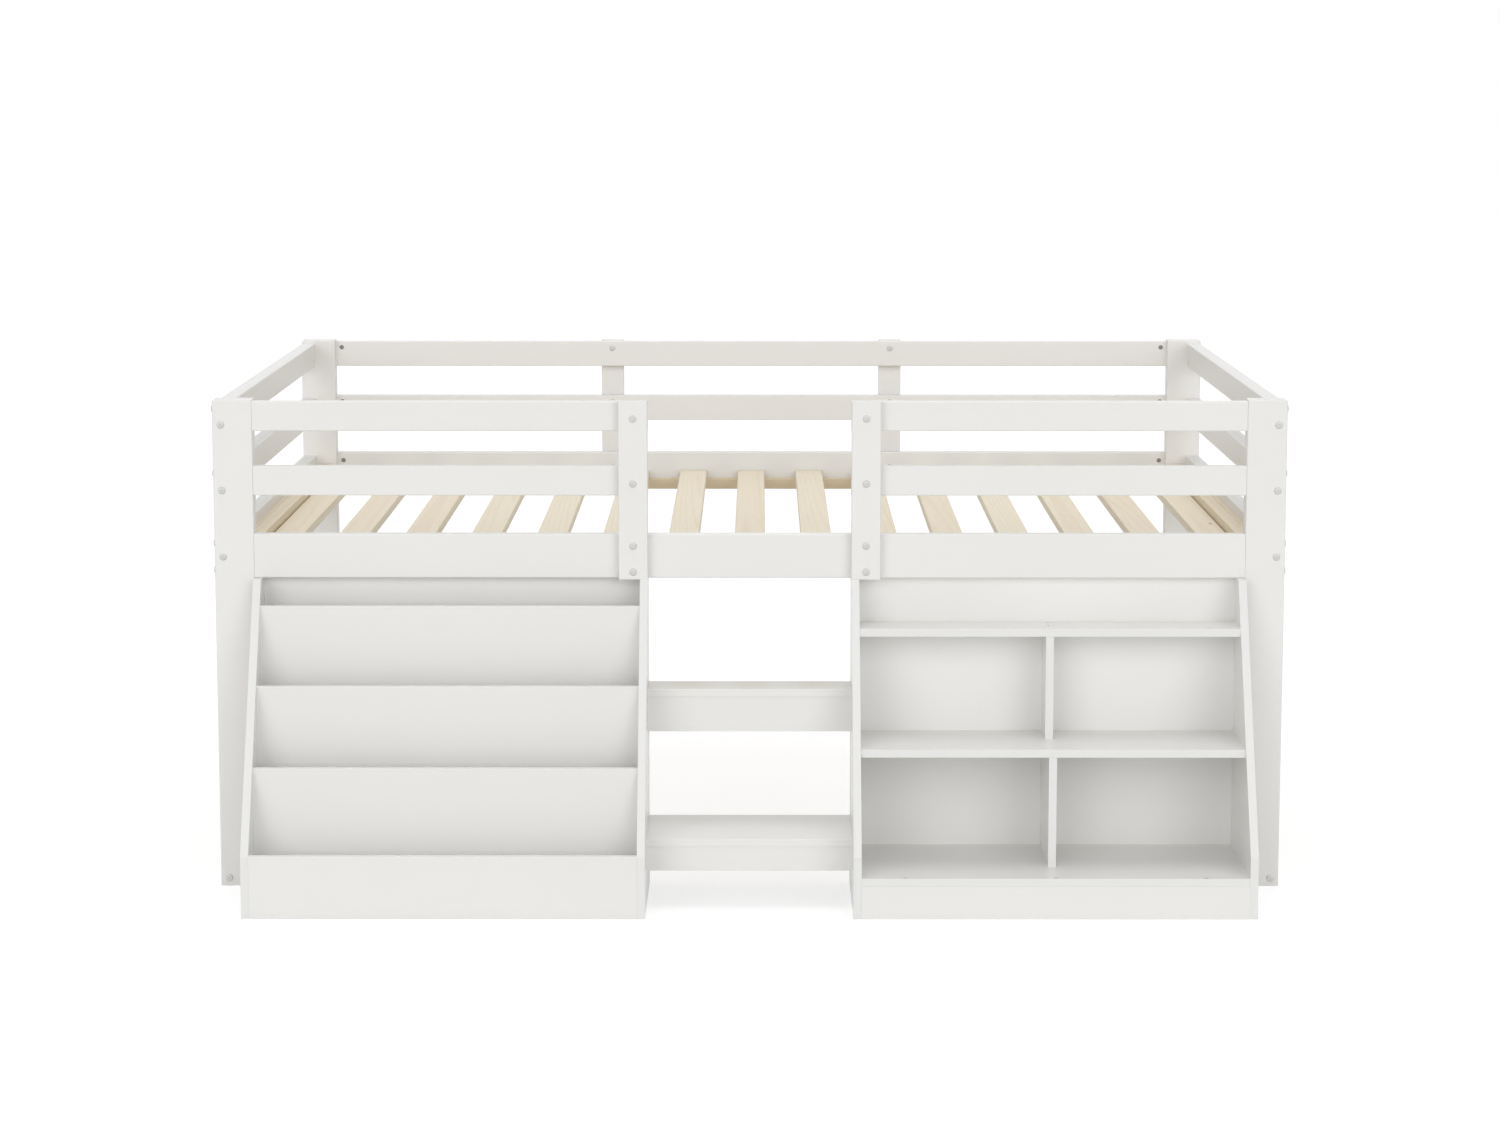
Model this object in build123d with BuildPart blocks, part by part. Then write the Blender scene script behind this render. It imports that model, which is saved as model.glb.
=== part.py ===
from build123d import *
import os

# Low loft bed in painted wood: a slatted bed deck on four corner legs, with guard rails,
# a book display cabinet and a cubby cabinet under the front rail, and two steps between them.
# Frame: +X to the right along the bed, +Y to the back, +Z up. The origin is on the floor,
# in the middle of the whole footprint. All lengths are in millimetres.

# Overall sizes
frame_length = 2019.0
frame_depth = 1445.0
leg_height = 932.0
foot_reach = 277.0

# Sections of the painted timber
leg_width = 75.0
leg_thickness = 38.0
rail_thickness = 22.0
guard_height = 56.0
bed_rail_height = 84.0
end_rail_thickness = 30.0
end_guard_height = 52.0
end_bed_rail_height = 82.0
front_post_width = 55.0
rear_post_width = 50.0
post_thickness = 20.0

# Heights of the undersides of the rails above the floor
bed_rail_base = 594.0
lower_guard_base = 750.5
upper_guard_base = 872.5
end_stretcher_base = 3.0
end_bed_rail_base = 590.0
end_lower_guard_base = 749.5
end_upper_guard_base = 872.0
post_height = 336.0

# Entry opening in the front guard, and the place of the rear posts
entry_half_width = 191.5
rear_post_centre = 312.0

# Pine deck
cleat_width = 24.0
cleat_height = 22.0
cleat_base = 597.0
cleat_end_gap = 4.5
slat_count = 15
slat_width = 59.6
slat_thickness = 18.0
slat_pitch = 129.9
slat_end_gap = 2.0
slat_leg_gap = 1.0
slat_base = cleat_base + cleat_height
deck_top = slat_base + slat_thickness
end_cleat_widths = (12.0, 24.7)
end_cleat_top = deck_top + 15.0
end_cleat_gap = 2.0
end_cleat_seam = 0.3

# Cabinets
board = 15.0
cabinet_back = 38.0
back_panel_thickness = 6.0
back_panel_face = 22.0
back_panel_base = 3.0
panel_knee_height = 115.0
panel_top_reach = 26.0

# Book display: tops and front faces of the three pocket boards, from the highest down
pocket_tops = (547.0, 406.0, 265.0)
pocket_reaches = (48.0, 118.0, 193.0)
pocket_depth = 120.0
pocket_floor_thickness = 12.0
kick_board_top = 117.0
lowest_floor_top = 30.0

# Cubby cabinet: undersides and reaches of the shelves, from the highest down
top_shelf_base = 493.0
top_shelf_reach = 72.0
middle_shelf_base = 283.0
middle_shelf_reach = 178.0
bottom_shelf_base = 61.0
divider_setback = 1.0

# Steps between the cabinets
upper_tread_base = 375.0
upper_tread_reach = 52.0
upper_riser_base = 309.0
lower_tread_base = 115.5
lower_tread_reach = 184.0
lower_riser_base = 70.0
riser_setback = 2.0

# Edge rounding
rail_round = 2.5
leg_round = 2.5
leg_top_round = 6.0
slat_round = 2.5
cleat_round = 1.5
end_cleat_round = 0.8
board_round = 0.8

# Joint fittings
bolt_radius = 3.0
bolt_hole_radius = 3.25
bolt_head_radius = 6.75
bolt_head_height = 2.0
bolt_head_round = 1.2
socket_radius = 2.3
socket_depth = 1.2
nut_radius = 5.0
nut_hole_radius = 5.1
nut_length = 13.0
nut_slot_width = 1.4
nut_slot_depth = 1.2
leg_bolt_length = 68.0
side_bolt_length = 93.0
post_bolt_length = 36.0
nut_from_rail_end = 13.5
nut_from_end_rail_end = 25.0
dowel_radius = 4.0
dowel_hole_radius = 4.05
dowel_length = 30.0
dowel_end_gap = 0.2
screw_radius = 2.5
screw_hole_radius = 2.6
screw_head_radius = 4.5
screw_head_hole_radius = 4.6
screw_head_height = 3.0
screw_length = 45.0
hole_end_gap = 1.0
bolt_inset = 16.0

# Heights of the bolts and dowels. The bolts stand off the middle of each rail.
front_bolt_heights = (15.0, 634.0, 760.0, 884.0)
side_bolt_heights = (608.0, 659.0, 792.5, 914.5)
side_dowel_heights = (633.5, 764.5, 886.5)
end_dowel_heights = (43.0, 602.0, 662.0, 789.5, 912.0)
front_post_bolt_heights = (608.0, 657.5, 775.0, 897.5)
rear_post_bolt_heights = (644.0, 791.0, 913.0)

# Heights of the screws that hold each cabinet's outer panel to the leg beside it, and how far
# behind the leg's front face they are, hidden by the cabinet's back panel
leg_screw_heights = (180.0, 420.0)
leg_screw_setback = 32.5

# Planes that the pieces share
half_length = frame_length / 2
leg_inner = half_length - leg_width
overall_depth = foot_reach + frame_depth + post_thickness
cabinet_front = -overall_depth / 2
leg_front = cabinet_front + foot_reach
leg_rear = leg_front + frame_depth
front_leg_back = leg_front + leg_thickness
rear_leg_face = leg_rear - leg_thickness
front_rail_inner = leg_front + rail_thickness
rear_rail_inner = leg_rear - rail_thickness
end_rail_inner = half_length - end_rail_thickness
cabinet_outer = leg_inner
cabinet_inner = entry_half_width
cabinet_middle = (cabinet_outer + cabinet_inner) / 2
cabinet_rear = leg_front + cabinet_back
panel_height = bed_rail_base
back_face = leg_front + back_panel_face
bolt_line_x = half_length - bolt_inset
leg_screw_y = leg_front + leg_screw_setback

os.makedirs("parts", exist_ok=True)


def save(piece, label):
    piece.part.label = label
    export_step(piece.part, f"parts/{label}.step")


def cut_bores(bores):
    for mouth, radius, depth in bores:
        with Locations(mouth):
            Hole(radius, depth)


def place(x, y, z, outward):
    """Plane on a face, whose Z axis points out of the face."""
    return Plane(origin=(x, y, z), z_dir=outward)


def make_board(label, x_span, y_span, z_span, grain, radius, bores=()):
    """One straight board with its four long edges rounded, and its bores."""
    with BuildPart() as piece:
        with BuildSketch(Plane.XY.offset(z_span[0])):
            with Locations((sum(x_span) / 2, sum(y_span) / 2)):
                Rectangle(x_span[1] - x_span[0], y_span[1] - y_span[0])
        extrude(amount=z_span[1] - z_span[0])
        fillet(piece.edges().filter_by(grain), radius)
        cut_bores(bores)
    save(piece, label)


def screw_bores(x, y, z, inward, panel):
    """Bores for one screw: through the panel, with a seat for the head."""
    return [
        (place(x, y, z, (-inward, 0, 0)), screw_hole_radius, panel),
        (place(x, y, z, (-inward, 0, 0)), screw_head_hole_radius, screw_head_height),
    ]


# Templates of the fittings, each with its head's seat at the origin and its shank along -Z


def make_bolt(length):
    with BuildPart() as bolt:
        with BuildSketch():
            Circle(bolt_head_radius)
        extrude(amount=bolt_head_height)
        fillet(bolt.edges().group_by(Axis.Z)[-1], bolt_head_round)
        with BuildSketch(Plane.XY.offset(bolt_head_height)):
            RegularPolygon(socket_radius, 6)
        extrude(amount=-socket_depth, mode=Mode.SUBTRACT)
        with BuildSketch():
            Circle(bolt_radius)
        extrude(amount=-length)
    return bolt.part


def make_screw(length):
    with BuildPart() as screw:
        with BuildSketch():
            Circle(screw_head_radius)
        extrude(amount=-screw_head_height)
        with BuildSketch(Plane.XY.offset(-screw_head_height)):
            Circle(screw_radius)
        extrude(amount=-(length - screw_head_height))
        with BuildSketch():
            RegularPolygon(socket_radius, 6)
        extrude(amount=-socket_depth, mode=Mode.SUBTRACT)
    return screw.part


def make_nut():
    """Cross dowel along Z, with the bolt's hole across it along X and a driver slot in its top end."""
    with BuildPart() as nut:
        with BuildSketch(Plane.XY.offset(-nut_length / 2)):
            Circle(nut_radius)
        extrude(amount=nut_length)
        with BuildSketch(Plane.XY.offset(nut_length / 2)):
            Rectangle(2 * nut_radius, nut_slot_width)
        extrude(amount=-nut_slot_depth, mode=Mode.SUBTRACT)
        with BuildSketch(Plane.YZ.offset(-nut_radius)):
            Circle(bolt_hole_radius)
        extrude(amount=2 * nut_radius, mode=Mode.SUBTRACT)
    return nut.part


def make_dowel():
    with BuildPart() as dowel:
        with BuildSketch():
            Circle(dowel_radius)
        extrude(amount=dowel_length)
        chamfer(dowel.edges(), 1.0)
    return dowel.part


def make_group(label, template, places):
    with BuildPart() as group:
        with Locations(*places):
            add(template)
    save(group, label)


# Legs. Each has bolts through its face to the end rails, bolts through its width to the long
# rails, and dowel holes beside them. The side bolts run at mid thickness of the long rails.
front_bolt_y = leg_front + rail_thickness / 2
rear_bolt_y = leg_rear - rail_thickness / 2
half_dowel = dowel_length / 2


def make_leg(label, side, rear):
    outer_face = leg_rear if rear else leg_front
    inner_face = rear_leg_face if rear else front_leg_back
    outward = 1 if rear else -1
    bolt_y = rear_bolt_y if rear else front_bolt_y
    x_span = sorted((side * leg_inner, side * half_length))
    y_span = sorted((outer_face, inner_face))
    bores = []
    for height in front_bolt_heights:
        seat = place(side * bolt_line_x, outer_face, height, (0, outward, 0))
        bores.append((seat, bolt_hole_radius, leg_thickness))
    for height in side_bolt_heights:
        seat = place(side * half_length, bolt_y, height, (side, 0, 0))
        bores.append((seat, bolt_hole_radius, leg_width))
    for height in side_dowel_heights:
        mouth = place(side * leg_inner, bolt_y, height, (-side, 0, 0))
        bores.append((mouth, dowel_hole_radius, half_dowel))
    for height in end_dowel_heights:
        mouth = place(side * bolt_line_x, inner_face, height, (0, -outward, 0))
        bores.append((mouth, dowel_hole_radius, half_dowel))
    if not rear:
        for height in leg_screw_heights:
            mouth = place(side * leg_inner, leg_screw_y, height, (-side, 0, 0))
            bores.append((mouth, screw_hole_radius, screw_length - board + hole_end_gap))
    with BuildPart() as leg:
        with BuildSketch():
            with Locations((sum(x_span) / 2, sum(y_span) / 2)):
                Rectangle(leg_width, leg_thickness)
        extrude(amount=leg_height)
        top_outer = leg.edges().filter_by(Axis.Y).group_by(Axis.Z)[-1].sort_by(Axis.X)
        fillet(top_outer[-1] if side > 0 else top_outer[0], leg_top_round)
        fillet(leg.edges().filter_by(Axis.Z), leg_round)
        cut_bores(bores)
    save(leg, label)


for side, side_name in ((-1, "left"), (1, "right")):
    make_leg(f"front_{side_name}_leg", side, rear=False)
    make_leg(f"rear_{side_name}_leg", side, rear=True)


# Long rails. At each end a rail has a bolt hole, a cross hole for the nut, open to the inner
# face, and a dowel hole.


def rail_end_bores(side, mid_y, inner_face, outward, bolt_heights, dowel_heights):
    bores = []
    nut_x = side * (leg_inner - nut_from_rail_end)
    nut_hole_depth = abs(inner_face - mid_y) + nut_length / 2
    for height in bolt_heights:
        mouth = place(side * leg_inner, mid_y, height, (side, 0, 0))
        bores.append((mouth, bolt_hole_radius, nut_from_rail_end + nut_radius + hole_end_gap))
        bores.append((place(nut_x, inner_face, height, (0, outward, 0)), nut_hole_radius, nut_hole_depth))
    for height in dowel_heights:
        mouth = place(side * leg_inner, mid_y, height, (side, 0, 0))
        bores.append((mouth, dowel_hole_radius, half_dowel + dowel_end_gap))
    return bores


rail_levels = (
    ("bed_rail", bed_rail_base, bed_rail_height, side_bolt_heights[:2], side_dowel_heights[:1]),
    ("lower_guard", lower_guard_base, guard_height, side_bolt_heights[2:3], side_dowel_heights[1:2]),
    ("upper_guard", upper_guard_base, guard_height, side_bolt_heights[3:], side_dowel_heights[2:]),
)
front_post_x = entry_half_width + front_post_width / 2


def post_bores(x, face, outward, heights, z_span, depth):
    """Holes for the post bolts that fall within one rail's height."""
    inside = [height for height in heights if z_span[0] < height < z_span[1]]
    return [(place(x, face, height, (0, outward, 0)), bolt_hole_radius, depth) for height in inside]


post_bolt_in_rail = post_bolt_length - post_thickness + hole_end_gap
for level, base, height, bolt_heights, dowel_heights in rail_levels:
    z_span = (base, base + height)
    rear_bores = []
    for side in (-1, 1):
        rear_bores += rail_end_bores(side, rear_bolt_y, rear_rail_inner, -1, bolt_heights, dowel_heights)
        rear_bores += post_bores(
            side * rear_post_centre, rear_rail_inner, -1, rear_post_bolt_heights, z_span, rail_thickness
        )
    make_board(
        f"rear_{level}", (-leg_inner, leg_inner), (rear_rail_inner, leg_rear), z_span,
        Axis.X, rail_round, rear_bores,
    )
    front_bores = {}
    for side in (-1, 1):
        front_bores[side] = rail_end_bores(
            side, front_bolt_y, front_rail_inner, 1, bolt_heights, dowel_heights
        )
        front_bores[side] += post_bores(
            side * front_post_x, leg_front, -1, front_post_bolt_heights, z_span, post_bolt_in_rail
        )
    y_span = (leg_front, front_rail_inner)
    if level == "bed_rail":
        whole = (-leg_inner, leg_inner)
        make_board(
            "front_bed_rail", whole, y_span, z_span, Axis.X, rail_round, front_bores[-1] + front_bores[1]
        )
    else:
        left_span = (-leg_inner, -entry_half_width)
        right_span = (entry_half_width, leg_inner)
        make_board(f"front_left_{level}", left_span, y_span, z_span, Axis.X, rail_round, front_bores[-1])
        make_board(f"front_right_{level}", right_span, y_span, z_span, Axis.X, rail_round, front_bores[1])


# Guard posts: the front pair stands on the outside of the front rails, the rear pair behind
# the rear rails.
post_z_span = (bed_rail_base, bed_rail_base + post_height)
for side, side_name in ((-1, "left"), (1, "right")):
    x_span = sorted((side * entry_half_width, side * (entry_half_width + front_post_width)))
    bores = post_bores(
        side * front_post_x, leg_front - post_thickness, -1, front_post_bolt_heights, post_z_span,
        post_thickness,
    )
    y_span = (leg_front - post_thickness, leg_front)
    make_board(f"front_{side_name}_post", x_span, y_span, post_z_span, Axis.Z, rail_round, bores)
    centre = side * rear_post_centre
    x_span = (centre - rear_post_width / 2, centre + rear_post_width / 2)
    bores = post_bores(centre, leg_rear, -1, rear_post_bolt_heights, post_z_span, post_bolt_in_rail)
    y_span = (leg_rear, leg_rear + post_thickness)
    make_board(f"rear_{side_name}_post", x_span, y_span, post_z_span, Axis.Z, rail_round, bores)


# End rails, flush with the outer edges of the legs
end_levels = (
    ("end_stretcher", end_stretcher_base, end_guard_height, front_bolt_heights[0], end_dowel_heights[:1]),
    ("end_bed_rail", end_bed_rail_base, end_bed_rail_height, front_bolt_heights[1], end_dowel_heights[1:3]),
    (
        "end_lower_guard", end_lower_guard_base, end_guard_height, front_bolt_heights[2],
        end_dowel_heights[3:4],
    ),
    (
        "end_upper_guard", end_upper_guard_base, end_guard_height, front_bolt_heights[3],
        end_dowel_heights[4:],
    ),
)
end_nut_hole_depth = bolt_line_x - end_rail_inner + nut_length / 2
for side, side_name in ((-1, "left"), (1, "right")):
    for level, base, height, bolt_height, dowel_heights in end_levels:
        bores = []
        for face, outward in ((front_leg_back, -1), (rear_leg_face, 1)):
            mouth = place(side * bolt_line_x, face, bolt_height, (0, outward, 0))
            bores.append((mouth, bolt_hole_radius, nut_from_end_rail_end + nut_radius + hole_end_gap))
            nut_y = face - outward * nut_from_end_rail_end
            nut_mouth = place(side * end_rail_inner, nut_y, bolt_height, (-side, 0, 0))
            bores.append((nut_mouth, nut_hole_radius, end_nut_hole_depth))
            for dowel_height in dowel_heights:
                mouth = place(side * bolt_line_x, face, dowel_height, (0, outward, 0))
                bores.append((mouth, dowel_hole_radius, half_dowel + dowel_end_gap))
        make_board(
            f"{side_name}_{level}", sorted((side * end_rail_inner, side * half_length)),
            (front_leg_back, rear_leg_face), (base, base + height), Axis.Y, rail_round, bores,
        )


# Pine deck: a cleat along the inside of each long rail carries the slats, and two battens side by
# side along each end rail stand a little above them.
cleat_x_span = (-(leg_inner - cleat_end_gap), leg_inner - cleat_end_gap)
cleat_z_span = (cleat_base, cleat_base + cleat_height)
front_cleat_span = (front_rail_inner, front_rail_inner + cleat_width)
rear_cleat_span = (rear_rail_inner - cleat_width, rear_rail_inner)
make_board("front_cleat", cleat_x_span, front_cleat_span, cleat_z_span, Axis.X, cleat_round)
make_board("rear_cleat", cleat_x_span, rear_cleat_span, cleat_z_span, Axis.X, cleat_round)
slat_front = front_rail_inner + slat_end_gap
slat_rear = rear_rail_inner - slat_end_gap
deck_middle = (slat_front + slat_rear) / 2


def make_end_cleat(label, side):
    """Two battens side by side along an end rail's inner face."""
    with BuildPart() as cleat:
        with BuildSketch(Plane.XY.offset(slat_base)):
            face = end_rail_inner
            for width in end_cleat_widths:
                with Locations((side * (face - width / 2), deck_middle)):
                    Rectangle(width, rear_leg_face - front_leg_back - 2 * end_cleat_gap)
                face -= width + end_cleat_seam
        extrude(amount=end_cleat_top - slat_base)
        fillet(cleat.edges().filter_by(Axis.Y), end_cleat_round)
    save(cleat, label)


def make_slats(label, first, last):
    """Slats on the long cleats. The outermost ones are notched round the legs."""
    with BuildPart() as slats:
        with BuildSketch(Plane.XY.offset(slat_base)):
            with Locations(*[(slat_pitch * step, deck_middle) for step in range(first, last + 1)]):
                Rectangle(slat_width, slat_rear - slat_front)
        extrude(amount=slat_thickness)
        fillet(slats.edges().filter_by(Axis.Y), slat_round)
        with BuildSketch(Plane.XY.offset(slat_base)):
            with Locations(*leg_centres):
                Rectangle(leg_width + 2 * slat_leg_gap, leg_thickness + 2 * slat_leg_gap)
        extrude(amount=slat_thickness, mode=Mode.SUBTRACT)
    save(slats, label)


leg_centres = [
    (side * (leg_inner + leg_width / 2), y)
    for side in (-1, 1)
    for y in (leg_front + leg_thickness / 2, leg_rear - leg_thickness / 2)
]
make_end_cleat("left_end_cleat", -1)
make_end_cleat("right_end_cleat", 1)


outer_slat = slat_count // 2
make_slats("slats_left", -outer_slat, 0)
make_slats("slats_right", 1, outer_slat)


# Cabinet side panels: upright at the foot, then sloping back to the bed rail. Each carries the
# screws that hold the boards between it and its pair, with their heads in the outer face.


def make_side_panel(label, inner_x, outward, screws, bores=()):
    """Panel whose outer face is board mm from inner_x, towards outward."""
    outer_x = inner_x + outward * board
    with BuildPart() as panel:
        with BuildSketch(Plane.YZ.offset(min(inner_x, outer_x))):
            with BuildLine():
                Polyline(
                    (cabinet_front, 0),
                    (cabinet_rear, 0),
                    (cabinet_rear, panel_height),
                    (leg_front - panel_top_reach, panel_height),
                    (cabinet_front, panel_knee_height),
                    close=True,
                )
            make_face()
        extrude(amount=board)
        fillet(panel.edges().group_by(Axis.X)[0] + panel.edges().group_by(Axis.X)[-1], board_round)
        for y, z in screws:
            cut_bores(screw_bores(outer_x, y, z, -outward, board))
        cut_bores(bores)
    save(panel, label)


def panel_screw_bores(ends, x_span, head_sides=(-1, 1)):
    """Pilot holes in the two ends of a board, one for each (y, z) in ends."""
    bores = []
    depth = screw_length - board + hole_end_gap
    for y, z in ends:
        for x, outward in ((x_span[0], -1), (x_span[1], 1)):
            if outward in head_sides:
                bores.append((place(x, y, z, (outward, 0, 0)), screw_hole_radius, depth))
    return bores


left_bay = (-(cabinet_outer - board), -(cabinet_inner + board))
right_bay = (cabinet_inner + board, cabinet_outer - board)

# Book display: every pocket is closed at the back by the board of the pocket above it.
floor_tops = [top - pocket_depth for top in pocket_tops] + [lowest_floor_top]
display_screws = []
for index, (top, reach) in enumerate(zip(pocket_tops, pocket_reaches)):
    face = leg_front - reach
    base = floor_tops[index + 1] - pocket_floor_thickness
    ends = [(face + board / 2, base + 30.0), (face + board / 2, top - 30.0)]
    display_screws += ends
    make_board(
        f"pocket_board_{index + 1}", left_bay, (face, face + board), (base, top),
        Axis.X, board_round, panel_screw_bores(ends, left_bay),
    )

kick_ends = [(cabinet_front + board / 2, 30.0), (cabinet_front + board / 2, 90.0)]
display_screws += kick_ends
make_board(
    "display_kick_board", left_bay, (cabinet_front, cabinet_front + board), (0, kick_board_top),
    Axis.X, board_round, panel_screw_bores(kick_ends, left_bay),
)

floor_fronts = [leg_front - reach + board for reach in pocket_reaches] + [cabinet_front + board]
floor_backs = [back_face] + [leg_front - reach for reach in pocket_reaches]
for index, (top, front, back) in enumerate(zip(floor_tops, floor_fronts, floor_backs)):
    middle = ((front + back) / 2, top - pocket_floor_thickness / 2)
    display_screws.append(middle)
    make_board(
        f"pocket_floor_{index + 1}", left_bay, (front, back), (top - pocket_floor_thickness, top),
        Axis.X, board_round, panel_screw_bores([middle], left_bay),
    )

# Cubby cabinet
shelf_levels = (
    ("top_shelf", top_shelf_base, leg_front - top_shelf_reach),
    ("middle_shelf", middle_shelf_base, leg_front - middle_shelf_reach),
    ("bottom_shelf", bottom_shelf_base, cabinet_front),
)
divider_x_span = (cabinet_middle - board / 2, cabinet_middle + board / 2)
shelf_screw_margin = 24.0
divider_screw_ys = (leg_front - 30.0, leg_front + 5.0)
plinth_screw_offset = 276.0
plinth_screw_xs = (
    cabinet_middle - plinth_screw_offset,
    cabinet_middle,
    cabinet_middle + plinth_screw_offset,
)
plinth_screw_y = cabinet_front + board / 2
middle_dowel_ys = (leg_front - 50.0, leg_front)
middle_dowel_depth = (dowel_length - board) / 2

shelf_bores = {"top_shelf": [], "middle_shelf": [], "bottom_shelf": []}
for y in divider_screw_ys:
    seat = place(cabinet_middle, y, top_shelf_base + board, (0, 0, 1))
    shelf_bores["top_shelf"].append((seat, screw_hole_radius, board))
    shelf_bores["top_shelf"].append((seat, screw_head_hole_radius, screw_head_height))
for y in middle_dowel_ys:
    seat = place(cabinet_middle, y, middle_shelf_base + board, (0, 0, 1))
    shelf_bores["middle_shelf"].append((seat, dowel_hole_radius, board))
for x in plinth_screw_xs:
    seat = place(x, plinth_screw_y, bottom_shelf_base + board, (0, 0, 1))
    shelf_bores["bottom_shelf"].append((seat, screw_hole_radius, board))
    shelf_bores["bottom_shelf"].append((seat, screw_head_hole_radius, screw_head_height))

cubby_screws = []
for level, base, front in shelf_levels:
    ends = [(y, base + board / 2) for y in (front + shelf_screw_margin, back_face - shelf_screw_margin)]
    cubby_screws += ends
    make_board(
        level, right_bay, (front, back_face), (base, base + board),
        Axis.X, board_round, panel_screw_bores(ends, right_bay) + shelf_bores[level],
    )

plinth_ends = [(cabinet_front + board / 2, bottom_shelf_base / 2)]
cubby_screws += plinth_ends
plinth_bores = panel_screw_bores(plinth_ends, right_bay)
for x in plinth_screw_xs:
    mouth = place(x, plinth_screw_y, bottom_shelf_base, (0, 0, 1))
    plinth_bores.append((mouth, screw_hole_radius, screw_length - board + hole_end_gap))
make_board(
    "plinth", right_bay, (cabinet_front, cabinet_front + board), (0, bottom_shelf_base),
    Axis.X, board_round, plinth_bores,
)

upper_divider_bores = []
for y in divider_screw_ys:
    mouth = place(cabinet_middle, y, top_shelf_base, (0, 0, 1))
    upper_divider_bores.append((mouth, screw_hole_radius, screw_length - board + hole_end_gap))
lower_divider_bores = []
for y in middle_dowel_ys:
    foot = place(cabinet_middle, y, middle_shelf_base + board, (0, 0, -1))
    upper_divider_bores.append((foot, dowel_hole_radius, middle_dowel_depth + dowel_end_gap))
    head = place(cabinet_middle, y, middle_shelf_base, (0, 0, 1))
    lower_divider_bores.append((head, dowel_hole_radius, middle_dowel_depth))
make_board(
    "upper_divider", divider_x_span, (leg_front - top_shelf_reach + divider_setback, back_face),
    (middle_shelf_base + board, top_shelf_base), Axis.Z, board_round, upper_divider_bores,
)
make_board(
    "lower_divider", divider_x_span, (leg_front - middle_shelf_reach + divider_setback, back_face),
    (bottom_shelf_base + board, middle_shelf_base), Axis.Z, board_round, lower_divider_bores,
)

# Steps, held by screws whose heads are inside the cabinets
step_x_span = (-cabinet_inner, cabinet_inner)
step_levels = (
    ("upper", upper_tread_base, upper_tread_reach, upper_riser_base),
    ("lower", lower_tread_base, lower_tread_reach, lower_riser_base),
)
step_screws = []
for step_name, tread_base, reach, riser_base in step_levels:
    front = leg_front - reach
    ends = [(y, tread_base + board / 2) for y in (front + shelf_screw_margin, leg_front)]
    step_screws += ends
    make_board(
        f"{step_name}_tread", step_x_span, (front, cabinet_rear), (tread_base, tread_base + board),
        Axis.X, board_round, panel_screw_bores(ends, step_x_span),
    )
    riser_front = front + riser_setback
    riser_ends = [(riser_front + board / 2, (riser_base + tread_base) / 2)]
    step_screws += riser_ends
    make_board(
        f"{step_name}_riser", step_x_span, (riser_front, riser_front + board), (riser_base, tread_base),
        Axis.X, board_round, panel_screw_bores(riser_ends, step_x_span),
    )

# Side panels and back panels
for side, cabinet_name, screws, bay in (
    (-1, "display", display_screws, left_bay),
    (1, "cubby", cubby_screws, right_bay),
):
    leg_screw_bores = []
    for height in leg_screw_heights:
        leg_screw_bores += screw_bores(side * (cabinet_outer - board), leg_screw_y, height, side, board)
    make_side_panel(
        f"{cabinet_name}_outer_panel", side * (cabinet_outer - board), side, screws, leg_screw_bores
    )
    step_screw_bores = []
    for y, z in step_screws:
        step_screw_bores += screw_bores(side * (cabinet_inner + board), y, z, -side, board)
    make_side_panel(
        f"{cabinet_name}_inner_panel", side * (cabinet_inner + board), -side, screws, step_screw_bores
    )
    make_board(
        f"{cabinet_name}_back_panel", bay, (back_face, back_face + back_panel_thickness),
        (back_panel_base, panel_height), Axis.X, board_round,
    )

# Bolts. The four-way groups share one node for each face of the bed.
leg_bolt = make_bolt(leg_bolt_length)
side_bolt = make_bolt(side_bolt_length)
post_bolt = make_bolt(post_bolt_length)
leg_bolt_seats = {"front": [], "rear": []}
side_bolt_seats = {"left": [], "right": []}
post_bolt_seats = []
nut_places = []
dowel_places = []
for side, side_name in ((-1, "left"), (1, "right")):
    nut_x = side * (leg_inner - nut_from_rail_end)
    for height in front_bolt_heights:
        leg_bolt_seats["front"].append(place(side * bolt_line_x, leg_front, height, (0, -1, 0)))
        leg_bolt_seats["rear"].append(place(side * bolt_line_x, leg_rear, height, (0, 1, 0)))
        for nut_y in (front_leg_back + nut_from_end_rail_end, rear_leg_face - nut_from_end_rail_end):
            nut_places.append(
                Plane(origin=(side * bolt_line_x, nut_y, height), x_dir=(0, 1, 0), z_dir=(-side, 0, 0))
            )
    for bolt_y, inward in ((front_bolt_y, 1), (rear_bolt_y, -1)):
        for height in side_bolt_heights:
            side_bolt_seats[side_name].append(place(side * half_length, bolt_y, height, (side, 0, 0)))
            nut_places.append(Plane(origin=(nut_x, bolt_y, height), x_dir=(1, 0, 0), z_dir=(0, inward, 0)))
        for height in side_dowel_heights:
            root = (side * (leg_inner + half_dowel), bolt_y, height)
            dowel_places.append(Plane(origin=root, z_dir=(-side, 0, 0)))
    for height in end_dowel_heights:
        front_root = (side * bolt_line_x, front_leg_back - half_dowel, height)
        rear_root = (side * bolt_line_x, rear_leg_face + half_dowel, height)
        dowel_places.append(Plane(origin=front_root, z_dir=(0, 1, 0)))
        dowel_places.append(Plane(origin=rear_root, z_dir=(0, -1, 0)))
    for height in front_post_bolt_heights:
        post_bolt_seats.append(place(side * front_post_x, leg_front - post_thickness, height, (0, -1, 0)))
    for height in rear_post_bolt_heights:
        post_bolt_seats.append(place(side * rear_post_centre, rear_rail_inner, height, (0, -1, 0)))
for y in middle_dowel_ys:
    dowel_root = (cabinet_middle, y, middle_shelf_base - middle_dowel_depth)
    dowel_places.append(Plane(origin=dowel_root, z_dir=(0, 0, 1)))

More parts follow.
